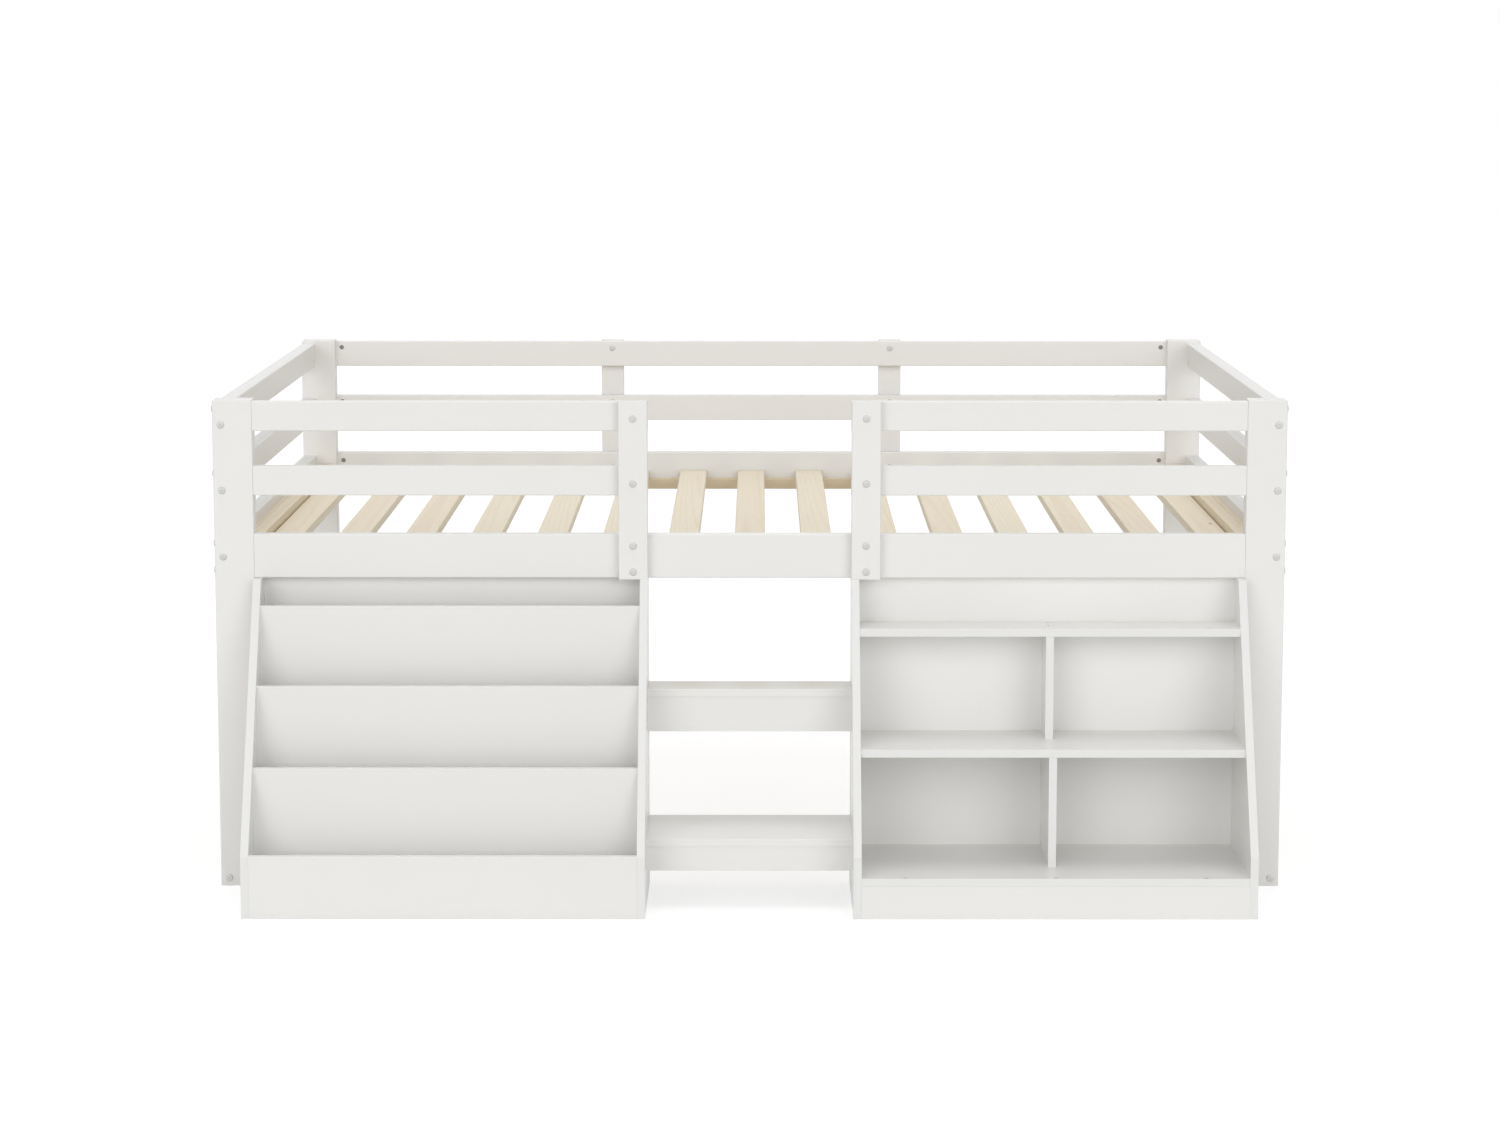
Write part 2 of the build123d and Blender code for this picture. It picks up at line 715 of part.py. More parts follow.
make_group("leg_face_bolts", leg_bolt, leg_bolt_seats["front"] + leg_bolt_seats["rear"])
make_group("leg_side_bolts", side_bolt, side_bolt_seats["left"] + side_bolt_seats["right"])
make_group("post_bolts", post_bolt, post_bolt_seats)
make_group("barrel_nuts", make_nut(), nut_places)
make_group("dowels", make_dowel(), dowel_places)

# Cabinet screws
screw_places = []
for side, screws in ((-1, display_screws), (1, cubby_screws)):
    for y, z in screws:
        screw_places.append(place(side * cabinet_outer, y, z, (side, 0, 0)))
        screw_places.append(place(side * cabinet_inner, y, z, (-side, 0, 0)))
    for height in leg_screw_heights:
        screw_places.append(place(side * (cabinet_outer - board), leg_screw_y, height, (-side, 0, 0)))
    for y, z in step_screws:
        screw_places.append(place(side * (cabinet_inner + board), y, z, (side, 0, 0)))
for y in divider_screw_ys:
    screw_places.append(place(cabinet_middle, y, top_shelf_base + board, (0, 0, 1)))
for x in plinth_screw_xs:
    screw_places.append(place(x, plinth_screw_y, bottom_shelf_base + board, (0, 0, 1)))
make_group("cabinet_screws", make_screw(screw_length), screw_places)
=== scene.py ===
import math

import bmesh
import bpy
from bpy.props import FloatProperty, FloatVectorProperty, PointerProperty
from mathutils import Matrix, Vector


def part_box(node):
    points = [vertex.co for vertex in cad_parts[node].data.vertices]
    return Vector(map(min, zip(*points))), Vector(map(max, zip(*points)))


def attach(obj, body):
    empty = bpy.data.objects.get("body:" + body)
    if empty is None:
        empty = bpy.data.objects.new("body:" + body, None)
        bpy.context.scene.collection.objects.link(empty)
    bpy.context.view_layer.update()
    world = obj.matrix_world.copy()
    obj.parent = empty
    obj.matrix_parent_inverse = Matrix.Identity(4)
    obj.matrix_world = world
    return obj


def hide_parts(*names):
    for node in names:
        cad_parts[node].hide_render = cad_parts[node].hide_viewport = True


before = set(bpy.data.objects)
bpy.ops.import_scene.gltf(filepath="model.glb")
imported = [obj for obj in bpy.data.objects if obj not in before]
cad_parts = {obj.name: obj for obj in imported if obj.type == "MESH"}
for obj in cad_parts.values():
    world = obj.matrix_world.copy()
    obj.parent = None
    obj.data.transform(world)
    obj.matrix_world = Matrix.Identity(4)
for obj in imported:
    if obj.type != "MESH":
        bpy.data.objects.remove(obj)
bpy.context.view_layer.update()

bl_info = {
    "name": "Low Loft Bed",
    "version": (1, 0, 0),
    "blender": (4, 5, 0),
    "location": "3D View > Sidebar > Loft Bed",
    "description": "Finishes a low loft bed in sprayed white timber with a bare pine slat deck",
    "category": "Object",
}


def linear(code):
    """Linear RGBA from an sRGB hex code."""
    channels = [int(code[i:i + 2], 16) / 255 for i in (1, 3, 5)]
    return [c / 12.92 if c <= 0.04045 else ((c + 0.055) / 1.055) ** 2.4 for c in channels] + [1.0]


def add_node(tree, kind, inputs=None, **settings):
    """Adds one node, with its settings, and its inputs as constants or links from other nodes' outputs."""
    node = tree.nodes.new(kind)
    for name, value in settings.items():
        setattr(node, name, value)
    for name, value in (inputs or {}).items():
        if isinstance(value, bpy.types.NodeSocket):
            tree.links.new(value, node.inputs[name])
        else:
            node.inputs[name].default_value = value
    return node


def new_material(name):
    """An empty node material with its shader and output joined."""
    material = bpy.data.materials.new(name)
    material.use_nodes = True
    tree = material.node_tree
    tree.nodes.clear()
    shader = add_node(tree, "ShaderNodeBsdfPrincipled")
    add_node(tree, "ShaderNodeOutputMaterial", {"Surface": shader.outputs["BSDF"]})
    return material, tree, shader


def ramp(tree, factor, stops, interpolation="LINEAR"):
    """A colour ramp through (position, linear colour) stops."""
    node = add_node(tree, "ShaderNodeValToRGB", {"Fac": factor})
    elements = node.color_ramp.elements
    node.color_ramp.interpolation = interpolation
    for index, (position, colour) in enumerate(stops):
        element = elements[index] if index < len(elements) else elements.new(position)
        element.position = position
        element.color = colour
    return node.outputs["Color"]


# Turns that bring each board's grain onto the pattern's Y axis
GRAIN_TURN = {"X": (0.0, 0.0, math.radians(90)), "Y": (0.0, 0.0, 0.0), "Z": (math.radians(90), 0.0, 0.0)}

# What the camera sees of the floor: less of its light and shade, and a lift that brings it to white
FLOOR_SEEN = "#A9A9A9"
FLOOR_LIFT = 0.7

# Pattern sizes, in metres. The paint's grain and orange peel, the pine's fibres and the metal's
# spangle are drawn two or three times coarser than they are, so that they show at all.
PAINT_GRAIN = (0.004, 0.12)
PAINT_CLOUD = 0.35
ORANGE_PEEL = 0.0025
RING_WIDTH = 0.0085
FIBRE = (0.0022, 0.09)
DASH = (0.0016, 0.018)
KNOT_SPACING = (0.075, 0.34)
SPANGLE = (0.0008, 0.006)

# Where each board was cut from its log: how far to the side of the pith, the least depth below the
# board and the spread of it, and how much the pith leans along the board
PITH_SIDE_SPREAD = 0.09
PITH_LEAST_DEPTH = 0.03
PITH_DEPTH_SPREAD = 0.05
PITH_LEAN = 0.05

# How much of the dark wood the fibres, the rings and a board's own tone each bring in
FIBRE_SHARE = 0.45
RING_SHARE = 0.2
TONE_SHARE = 0.2
KNOTTY_SHARE = 0.35

# Roughness of the finishes, from sprayed paint on board, the smoothest, to bare beech
BOARD_ROUGHNESS = 0.27
PAINTED_PINE_ROUGHNESS = 0.42
HARDBOARD_ROUGHNESS = 0.5
BARE_PINE_ROUGHNESS = 0.6
BEECH_ROUGHNESS = 0.65

# The Mix node's colour sockets, by number because its other types' sockets share their names
MIX_FIRST = 6
MIX_SECOND = 7
MIX_RESULT = 2

# A face whose normal points forwards by this much is a board's front edge
FRONT_FACING = -0.7

LAMP_HEIGHT = 4.0
SENSOR_WIDTH = 36.0
WHITE = (1.0, 1.0, 1.0, 1.0)

# The slats stand side by side from the bed's middle, where one is centred
SLATS_EACH_SIDE = 7
SLAT_HALF_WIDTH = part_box("slats_left")[1].x
SLAT_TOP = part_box("slats_left")[1].z
SLAT_PITCH = (-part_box("slats_left")[0].x - SLAT_HALF_WIDTH) / SLATS_EACH_SIDE


def grain_coordinates(tree, grain):
    """Object coordinates turned so that the wood's grain runs along Y."""
    place = add_node(tree, "ShaderNodeTexCoord").outputs["Object"]
    turned = add_node(tree, "ShaderNodeMapping", {"Vector": place, "Rotation": GRAIN_TURN[grain]})
    return turned.outputs["Vector"]


def stretched_noise(tree, coordinates, across, along, detail=2.0):
    """Noise whose spots are across wide and along long, in metres."""
    scale = (1 / across, 1 / along, 1 / across)
    place = add_node(tree, "ShaderNodeMapping", {"Vector": coordinates, "Scale": scale})
    noise = add_node(
        tree, "ShaderNodeTexNoise", {"Vector": place.outputs["Vector"], "Scale": 1.0, "Detail": detail}
    )
    return noise.outputs["Fac"]


def blend_colours(tree, factor, first, second):
    """First colour where factor is 0, second where it is 1."""
    mix = add_node(tree, "ShaderNodeMix", {"Factor": factor}, data_type="RGBA")
    for index, colour in ((MIX_FIRST, first), (MIX_SECOND, second)):
        if isinstance(colour, bpy.types.NodeSocket):
            tree.links.new(colour, mix.inputs[index])
        else:
            mix.inputs[index].default_value = colour
    return mix.outputs[MIX_RESULT]


def calculate(tree, operation, *values):
    """One math node on constants and outputs."""
    node = add_node(tree, "ShaderNodeMath", dict(enumerate(values)), operation=operation)
    return node.outputs["Value"]


def grey_ramp(tree, factor, stops):
    """A ramp through (position, level) stops."""
    return ramp(tree, factor, [(position, [level, level, level, 1.0]) for position, level in stops])


def spread(tree, chance, width):
    """A random share turned into a distance, as much to one side of 0 as to the other."""
    return calculate(tree, "MULTIPLY_ADD", chance, width, -width / 2)


def seen_directly(tree):
    """1 where a ray comes from the camera, or by way of a reflection or glass, and 0 elsewhere."""
    path = add_node(tree, "ShaderNodeLightPath")
    seen = calculate(tree, "MAXIMUM", path.outputs["Is Camera Ray"], path.outputs["Is Glossy Ray"])
    return calculate(tree, "MAXIMUM", seen, path.outputs["Is Transmission Ray"])


def chosen(name):
    """A colour from the panel."""
    return tuple(getattr(bpy.context.scene.bed_colours, name))


def paint_colour(tree, coordinates):
    """Sprayed paint: almost even, with a faint cloud where the coat is thicker."""
    cloud = stretched_noise(tree, coordinates, PAINT_CLOUD, PAINT_CLOUD)
    return blend_colours(tree, cloud, chosen("paint_shade"), chosen("paint"))


def paint_relief(tree, coordinates):
    """The planed grain that still shows through the coat."""
    grain = stretched_noise(tree, coordinates, *PAINT_GRAIN, detail=3.0)
    bump = add_node(tree, "ShaderNodeBump", {"Strength": 0.06, "Distance": 0.0003, "Height": grain})
    return bump.outputs["Normal"]


def orange_peel(tree, coordinates, strength):
    """The fine, even dimples of a coat that was sprayed or rolled on."""
    peel = stretched_noise(tree, coordinates, ORANGE_PEEL, ORANGE_PEEL)
    bump = add_node(tree, "ShaderNodeBump", {"Strength": strength, "Distance": 0.0002, "Height": peel})
    return bump.outputs["Normal"]


def sprayed_pine(grain):
    """Planed pine under sprayed white polyurethane paint: a soft satin sheen over a faint grain."""
    material, tree, shader = new_material(f"sprayed_polyurethane_on_pine_{grain.lower()}")
    coordinates = grain_coordinates(tree, grain)
    tree.links.new(paint_colour(tree, coordinates), shader.inputs["Base Color"])
    tree.links.new(paint_relief(tree, coordinates), shader.inputs["Normal"])
    shader.inputs["Roughness"].default_value = PAINTED_PINE_ROUGHNESS
    return material


def sprayed_board():
    """Medium-density fibreboard under sprayed paint: grainless, smooth and a little glossy."""
    material, tree, shader = new_material("sprayed_polyurethane_on_fibreboard")
    coordinates = grain_coordinates(tree, "Y")
    tree.links.new(orange_peel(tree, coordinates, 0.06), shader.inputs["Normal"])
    tree.links.new(paint_colour(tree, coordinates), shader.inputs["Base Color"])
    shader.inputs["Roughness"].default_value = BOARD_ROUGHNESS
    return material


def front_edge_board():
    """The same board, whose faces that point forwards, its front edges, get a colour of their own, a shade
    darker than its other faces.
    """
    material, tree, shader = new_material("fibreboard_with_banded_edges")
    coordinates = grain_coordinates(tree, "Y")
    normal = add_node(tree, "ShaderNodeNewGeometry").outputs["Normal"]
    facing = add_node(tree, "ShaderNodeSeparateXYZ", {"Vector": normal}).outputs["Y"]
    edge = calculate(tree, "LESS_THAN", facing, FRONT_FACING)
    colour = blend_colours(tree, edge, paint_colour(tree, coordinates), chosen("front_edge_colour"))
    tree.links.new(orange_peel(tree, coordinates, 0.06), shader.inputs["Normal"])
    tree.links.new(colour, shader.inputs["Base Color"])
    shader.inputs["Roughness"].default_value = BOARD_ROUGHNESS
    return material


def lacquered_hardboard():
    """Thin hardboard with a rolled lacquer, a little duller and a little whiter than the painted boards; the
    extra whiteness is painted light on the backs deep in the cubbies.
    """
    material, tree, shader = new_material("rolled_lacquer_on_hardboard")
    coordinates = grain_coordinates(tree, "Y")
    cloud = stretched_noise(tree, coordinates, PAINT_CLOUD, PAINT_CLOUD)
    # The lighter hardboard colour is painted light that lifts the backs where they stand deep in the cubbies.
    colour = blend_colours(tree, cloud, chosen("paint_shade"), chosen("hardboard"))
    tree.links.new(orange_peel(tree, coordinates, 0.05), shader.inputs["Normal"])
    tree.links.new(colour, shader.inputs["Base Color"])
    shader.inputs["Roughness"].default_value = HARDBOARD_ROUGHNESS
    return material


def growth_rings(tree, across, along, depth, board, lot, tone):
    """Late wood of flat-sawn boards, each cut at its own place beside and above the log's pith."""
    middle = calculate(tree, "MULTIPLY", board, SLAT_PITCH)
    beside = calculate(tree, "SUBTRACT", across, middle)
    beside = calculate(tree, "ADD", beside, spread(tree, lot, PITH_SIDE_SPREAD))
    pith_depth = calculate(tree, "MULTIPLY_ADD", tone, PITH_DEPTH_SPREAD, PITH_LEAST_DEPTH)
    below = calculate(tree, "MULTIPLY_ADD", along, spread(tree, tone, PITH_LEAN), pith_depth)
    below = calculate(tree, "ADD", below, calculate(tree, "SUBTRACT", depth, SLAT_TOP))
    squares = [calculate(tree, "POWER", side, 2.0) for side in (beside, below)]
    radius = calculate(tree, "SQRT", calculate(tree, "ADD", *squares))
    ring = calculate(tree, "FRACT", calculate(tree, "DIVIDE", radius, RING_WIDTH))
    return grey_ramp(tree, ring, ((0.0, 0.0), (0.55, 0.1), (0.88, 1.0), (1.0, 0.0)))


def small_knots(tree, coordinates):
    """Few, small knots, stretched a little along the grain."""
    scale = (1 / KNOT_SPACING[0], 1 / KNOT_SPACING[1], 1 / KNOT_SPACING[0])
    spots = add_node(tree, "ShaderNodeMapping", {"Vector": coordinates, "Scale": scale})
    cells = add_node(tree, "ShaderNodeTexVoronoi", {"Vector": spots.outputs["Vector"], "Scale": 1.0})
    near = grey_ramp(tree, cells.outputs["Distance"], ((0.0, 1.0), (0.03, 0.8), (0.06, 0.0)))
    pick = add_node(tree, "ShaderNodeSeparateXYZ", {"Vector": cells.outputs["Color"]}).outputs["X"]
    return calculate(tree, "MULTIPLY", near, calculate(tree, "LESS_THAN", pick, KNOTTY_SHARE))


def planed_pine(grain, tone_and_painted_shade=0.0):
    """Bare planed pine: matt and pale, with faint rings, fibres, short dark dashes and small knots."""
    material, tree, shader = new_material(f"bare_planed_pine_{grain.lower()}")
    coordinates = grain_coordinates(tree, grain)
    parts = add_node(tree, "ShaderNodeSeparateXYZ", {"Vector": coordinates})
    across, along, depth = (parts.outputs[axis] for axis in "XYZ")
    board = calculate(tree, "ROUND", calculate(tree, "DIVIDE", across, SLAT_PITCH))
    chance = add_node(tree, "ShaderNodeTexWhiteNoise", {"W": board}, noise_dimensions="1D")
    tone = chance.outputs["Value"]
    lot = add_node(tree, "ShaderNodeSeparateXYZ", {"Vector": chance.outputs["Color"]}).outputs["X"]
    late = growth_rings(tree, across, along, depth, board, lot, tone)
    fibre = stretched_noise(tree, coordinates, *FIBRE)
    share = calculate(tree, "MULTIPLY_ADD", fibre, FIBRE_SHARE, calculate(tree, "MULTIPLY", late, RING_SHARE))
    # Each board is then darkened by the amount passed in: for the long cleats this is painted shade for their
    # faces, which stand in shade below the deck.
    share = calculate(tree, "ADD", calculate(tree, "MULTIPLY_ADD", tone, TONE_SHARE, share), tone_and_painted_shade)
    wood = blend_colours(tree, share, chosen("pine_pale"), chosen("pine_dark"))
    dashes = stretched_noise(tree, coordinates, *DASH)
    dashes = grey_ramp(tree, dashes, ((0.68, 0.0), (0.78, 0.5)))
    marks = calculate(tree, "MAXIMUM", dashes, small_knots(tree, coordinates))
    colour = blend_colours(tree, marks, wood, chosen("pine_knot"))
    bump = add_node(tree, "ShaderNodeBump", {"Strength": 0.15, "Distance": 0.0003, "Height": share})
    tree.links.new(colour, shader.inputs["Base Color"])
    tree.links.new(bump.outputs["Normal"], shader.inputs["Normal"])
    shader.inputs["Roughness"].default_value = BARE_PINE_ROUGHNESS
    return material


def plated_steel(name, dark, light, roughness):
    """Steel under a thin plate, whose brushed lustre is broken by a fine crystal spangle."""
    material, tree, shader = new_material(name)
    coordinates = grain_coordinates(tree, "Y")
    spangle = stretched_noise(tree, coordinates, *SPANGLE)
    tree.links.new(blend_colours(tree, spangle, chosen(dark), chosen(light)), shader.inputs["Base Color"])
    tree.links.new(calculate(tree, "MULTIPLY_ADD", spangle, 0.15, roughness), shader.inputs["Roughness"])
    shader.inputs["Metallic"].default_value = 1.0
    return material


def turned_beech():
    """Bare beech dowel: warm, with short dark flecks."""
    material, tree, shader = new_material("bare_turned_beech")
    coordinates = grain_coordinates(tree, "Y")
    fleck = stretched_noise(tree, coordinates, *DASH)
    colour = blend_colours(tree, fleck, chosen("beech_pale"), chosen("beech_dark"))
    tree.links.new(colour, shader.inputs["Base Color"])
    shader.inputs["Roughness"].default_value = BEECH_ROUGHNESS
    return material


MAKERS = {
    "painted_x": lambda: sprayed_pine("X"),
    "painted_y": lambda: sprayed_pine("Y"),
    "painted_z": lambda: sprayed_pine("Z"),
    "board": sprayed_board,
    "banded": front_edge_board,
    "hardboard": lacquered_hardboard,
    "slat": lambda: planed_pine("Y"),
    "end_cleat": lambda: planed_pine("Y", 0.12),
    # The long cleats' pine is darkened far past the slats': painted shade for their faces under the edges of
    # the deck.
    "long_cleat": lambda: planed_pine("X", 0.9),
    "zinc": lambda: plated_steel("bright_zinc_plate_on_steel", "zinc_dark", "zinc_light", 0.45),
    # The nuts' dark coat is partly their black phosphate and partly painted shade, standing in for the shade
    # down the holes they sit in.
    "phosphate": lambda: plated_steel("black_phosphate_on_steel", "nut_coat_and_shade_dark", "nut_coat_and_shade_light", 0.55),
    "beech": turned_beech,
}
made = {}


def material_for(finish):
    """The material of a finish, made when it is first asked for."""
    if finish not in made:
        made[finish] = MAKERS[finish]()
    return made[finish]


def finish_nodes(names, finish):
    """Gives each named piece that finish."""
    for name in names:
        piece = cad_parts[name]
        if not piece.material_slots:
            piece.data.materials.append(material_for(finish))
        for slot in piece.material_slots:
            slot.material = material_for(finish)


def bolts_in(node):
    """For each bolt of a CAD node: the middle of its head's top, the way the head faces, its length."""
    mesh = bmesh.new()
    mesh.from_mesh(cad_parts[node].data)
    bmesh.ops.remove_doubles(mesh, verts=mesh.verts, dist=1e-6)
    mesh.verts.ensure_lookup_table()
    seen = set()
    bolts = []
    for start in mesh.verts:
        if start.index in seen:
            continue
        seen.add(start.index)
        to_visit = [start]
        points = []
        while to_visit:
            vertex = to_visit.pop()
            points.append(vertex.co.copy())
            for edge in vertex.link_edges:
                other = edge.other_vert(vertex)
                if other.index not in seen:
                    seen.add(other.index)
                    to_visit.append(other)
        low = Vector([min(point[axis] for point in points) for axis in range(3)])
        high = Vector([max(point[axis] for point in points) for axis in range(3)])
        size = high - low
        along = max(range(3), key=lambda axis: size[axis])
        middle = (low + high) / 2
        outward = Vector((0.0, 0.0, 0.0))
        widest = max(points, key=lambda point: across_axis(point - middle, along))
        outward[along] = 1.0 if widest[along] > middle[along] else -1.0
        bolts.append((middle + outward * size[along] / 2, outward, size[along]))
    mesh.free()
    return bolts


def across_axis(offset, along):
    """Length of an offset without its part along one axis."""
    return math.hypot(*[offset[axis] for axis in range(3) if axis != along])


def select_where(piece, kind, test):
    """In edit mode, selects just the faces or edges whose corners all pass the test."""
    bpy.ops.mesh.select_mode(type=kind)
    bpy.ops.mesh.select_all(action="DESELECT")
    mesh = bmesh.from_edit_mesh(piece.data)
    for part in mesh.faces if kind == "FACE" else mesh.edges:
        if all(test(vertex.co) for vertex in part.verts):
            part.select_set(True)
    bmesh.update_edit_mesh(piece.data)


def model_bolt(length, sizes):
    """A button-head bolt along Z, with the top of its head at the origin."""
    bpy.ops.object.select_all(action="DESELECT")
    seat = -sizes.head_height
    bpy.ops.mesh.primitive_cylinder_add(
        vertices=48, radius=sizes.head_radius, depth=sizes.head_height, location=(0.0, 0.0, seat / 2)
    )
    bpy.ops.object.transform_apply()
    bolt = bpy.context.object
    near = sizes.head_height / 100
    bpy.ops.object.mode_set(mode="EDIT")
    select_where(bolt, "FACE", lambda place: place.z < seat + near)
    bpy.ops.mesh.inset(thickness=sizes.head_radius - sizes.shank_radius)
    bpy.ops.mesh.extrude_region_move(TRANSFORM_OT_translate={"value": (0.0, 0.0, -length - seat)})
    select_where(bolt, "EDGE", lambda place: place.z < near - length)
    bpy.ops.mesh.bevel(offset=sizes.tip_bevel, segments=2)
    select_where(bolt, "EDGE", lambda place: place.z > -near)
    bpy.ops.mesh.bevel(offset=sizes.head_round, segments=6)
    bpy.ops.object.mode_set(mode="OBJECT")

    bpy.ops.object.select_all(action="DESELECT")
    bpy.ops.mesh.primitive_cylinder_add(vertices=6, radius=sizes.socket_radius, depth=2 * sizes.socket_depth)
    driver = bpy.context.object
    socket = bolt.modifiers.new("socket", "BOOLEAN")
    socket.operation = "DIFFERENCE"
    socket.object = driver
    bpy.context.view_layer.objects.active = bolt
    bpy.ops.object.modifier_apply(modifier="socket")
    bpy.data.objects.remove(driver)
    return bolt


def place_bolts(node, sizes):
    """Stands modelled bolts in the place of a CAD node's."""
    places = bolts_in(node)
    template = model_bolt(places[0][2], sizes)
    bpy.ops.object.select_all(action="DESELECT")
    for top, outward, _ in places:
        copy = bpy.data.objects.new(node, template.data.copy())
        turn = Vector((0.0, 0.0, 1.0)).rotation_difference(outward).to_matrix().to_4x4()
        copy.data.transform(Matrix.Translation(top) @ turn)
        bpy.context.collection.objects.link(copy)
        copy.select_set(True)
    bpy.context.view_layer.objects.active = copy
    bpy.ops.object.join()
    bpy.data.objects.remove(template)
    piece = bpy.context.object
    piece.name = f"modelled_{node}"
    bpy.ops.object.shade_smooth_by_angle(angle=math.radians(30))
    piece.data.materials.clear()
    piece.data.materials.append(material_for("zinc"))
    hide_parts(node)
    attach(piece, "root")


def colour_choice(name, description, code):
    """A colour for the panel, from its sRGB hex code."""
    return FloatVectorProperty(
        name=name, description=description, default=linear(code), subtype="COLOR", size=4, min=0.0, max=1.0
    )


class BED_PG_colours(bpy.types.PropertyGroup):
    """The colours as the eye meets them."""
    paint: colour_choice("Paint", "Where the sprayed coat is thick", "#EAE9E7")
    paint_shade: colour_choice("Paint, thin", "Where the sprayed coat is thin", "#E6E5E2")
    # A colour of its own for the boards' faces that point forwards, a shade darker than the paint.
    front_edge_colour: colour_choice("Edge band", "Front edges of the cabinets' boards", "#E5E5E3")
    # The backs are white like the paint, and lighter than it: the extra is painted light that lifts them
    # where they stand deep in the cubbies.
    hardboard: colour_choice("Hardboard", "Backs of the cabinets", "#F0EFED")
    pine_pale: colour_choice("Pine, pale", "Early wood of the slats", "#EEE5D2")
    pine_dark: colour_choice("Pine, dark", "Late wood and fibres of the slats", "#D9C8AA")
    pine_knot: colour_choice("Pine knots", "Small knots and dark dashes", "#B99C74")
    beech_pale: colour_choice("Beech, pale", "Ground of the dowels", "#D8B48C")
    beech_dark: colour_choice("Beech, dark", "Flecks of the dowels", "#C49A6E")
    zinc_dark: colour_choice("Zinc, dark", "Darker crystals of the bolts' plate", "#B0B0AE")
    zinc_light: colour_choice("Zinc, light", "Lighter crystals of the bolts' plate", "#CCCCCA")
    # Dark nut colours: partly the coat, partly painted shade for the holes the nuts sit in.
    nut_coat_and_shade_dark: colour_choice("Phosphate, dark", "Darker crystals of the nuts' coat", "#8C8C8A")
    nut_coat_and_shade_light: colour_choice("Phosphate, light", "Lighter crystals of the nuts' coat", "#A6A6A4")
    floor: colour_choice("Floor", "Seamless paper under the bed", "#EDEDEC")


class BED_PG_bolt(bpy.types.PropertyGroup):
    """Sizes of the button-head bolts."""
    head_radius: FloatProperty(name="Head radius", description="Of the head", default=0.00675, unit="LENGTH")
    head_height: FloatProperty(
        name="Head height", description="From its seat to its top", default=0.002, unit="LENGTH"
    )
    head_round: FloatProperty(
        name="Head rounding", description="Of the head's rim", default=0.0014, unit="LENGTH"
    )
    socket_radius: FloatProperty(
        name="Socket", description="To the corners of the hexagon", default=0.0023, unit="LENGTH"
    )
    socket_depth: FloatProperty(
        name="Socket depth", description="Below the top", default=0.0012, unit="LENGTH"
    )
    shank_radius: FloatProperty(name="Shank", description="Radius of the shank", default=0.003, unit="LENGTH")
    tip_bevel: FloatProperty(
        name="Tip", description="Bevel of the shank's end", default=0.0006, unit="LENGTH"
    )


class BED_PG_camera(bpy.types.PropertyGroup):
    """Where the picture is taken from."""
    distance: FloatProperty(
        name="Distance", description="From the front of the legs to the lens", default=7.045, unit="LENGTH"
    )
    height: FloatProperty(
        name="Height", description="Of the lens above the floor", default=1.601, unit="LENGTH"
    )
    offset: FloatProperty(
        name="Offset", description="Of the lens to the right of the middle", default=0.0166, unit="LENGTH"
    )
    pitch: FloatProperty(
        name="Pitch", description="Down from level", default=math.radians(8.303), subtype="ANGLE"
    )
    yaw: FloatProperty(name="Yaw", description="To the left", default=math.radians(0.129), subtype="ANGLE")
    lens: FloatProperty(name="Lens", description="Focal length on a 36 mm sensor, in mm", default=90.47)
    shift: FloatProperty(name="Shift", description="Up, as a share of the picture's width", default=0.0177)


class BED_PG_stage(bpy.types.PropertyGroup):
    """The floor and the light."""
    floor_size: FloatProperty(name="Floor", description="Length of its side", default=40.0, unit="LENGTH")
    sky: FloatProperty(name="Sky", description="Strength of the light from all round", default=0.43)
    front: FloatProperty(
        name="Front lights", description="Strength of each of the two lights beside the camera", default=0.73
    )
    front_height: FloatProperty(
        name="Front lights' height", description="Above level", default=math.radians(17), subtype="ANGLE"
    )
    front_side: FloatProperty(
        name="Front lights' side", description="Away from straight ahead", default=math.radians(28),
        subtype="ANGLE"
    )
    top: FloatProperty(name="Top light", description="Strength of the wide light overhead", default=0.85)
    rear: FloatProperty(name="Rear light", description="Strength of the light behind the bed", default=0.34)
    rear_height: FloatProperty(
        name="Rear light's height", description="Above level", default=math.radians(48), subtype="ANGLE"
    )
    softness: FloatProperty(
        name="Softness", description="How wide the lights look", default=math.radians(38), subtype="ANGLE"
    )


class BED_OT_finish_legs(bpy.types.Operator):
    """Paint the four corner legs and the four guard posts"""
    bl_idname = "bed.finish_legs"
    bl_label = "Legs and Posts"

    def execute(self, context):
        names = [f"{end}_{side}_{piece}" for end in ("front", "rear") for side in ("left", "right")
                 for piece in ("leg", "post")]
        finish_nodes(names, "painted_z")
        return {"FINISHED"}


class BED_OT_finish_rails(bpy.types.Operator):
    """Paint the rails of the front, the rear and both ends"""
    bl_idname = "bed.finish_rails"
    bl_label = "Rails"

    def execute(self, context):
        levels = ("lower_guard", "upper_guard")
        long_rails = ["front_bed_rail", "rear_bed_rail"] + [f"rear_{level}" for level in levels]
        long_rails += [f"front_{side}_{level}" for side in ("left", "right") for level in levels]
        finish_nodes(long_rails, "painted_x")
        end_levels = levels + ("bed_rail", "stretcher")
        end_rails = [f"{side}_end_{level}" for side in ("left", "right") for level in end_levels]
        finish_nodes(end_rails, "painted_y")
        return {"FINISHED"}


class BED_OT_finish_deck(bpy.types.Operator):
    """Finish the slats and the cleats that carry them in bare pine"""
    bl_idname = "bed.finish_deck"
    bl_label = "Slat Deck"

    def execute(self, context):
        finish_nodes(["slats_left", "slats_right"], "slat")
        finish_nodes(["left_end_cleat", "right_end_cleat"], "end_cleat")
        finish_nodes(["front_cleat", "rear_cleat"], "long_cleat")
        return {"FINISHED"}


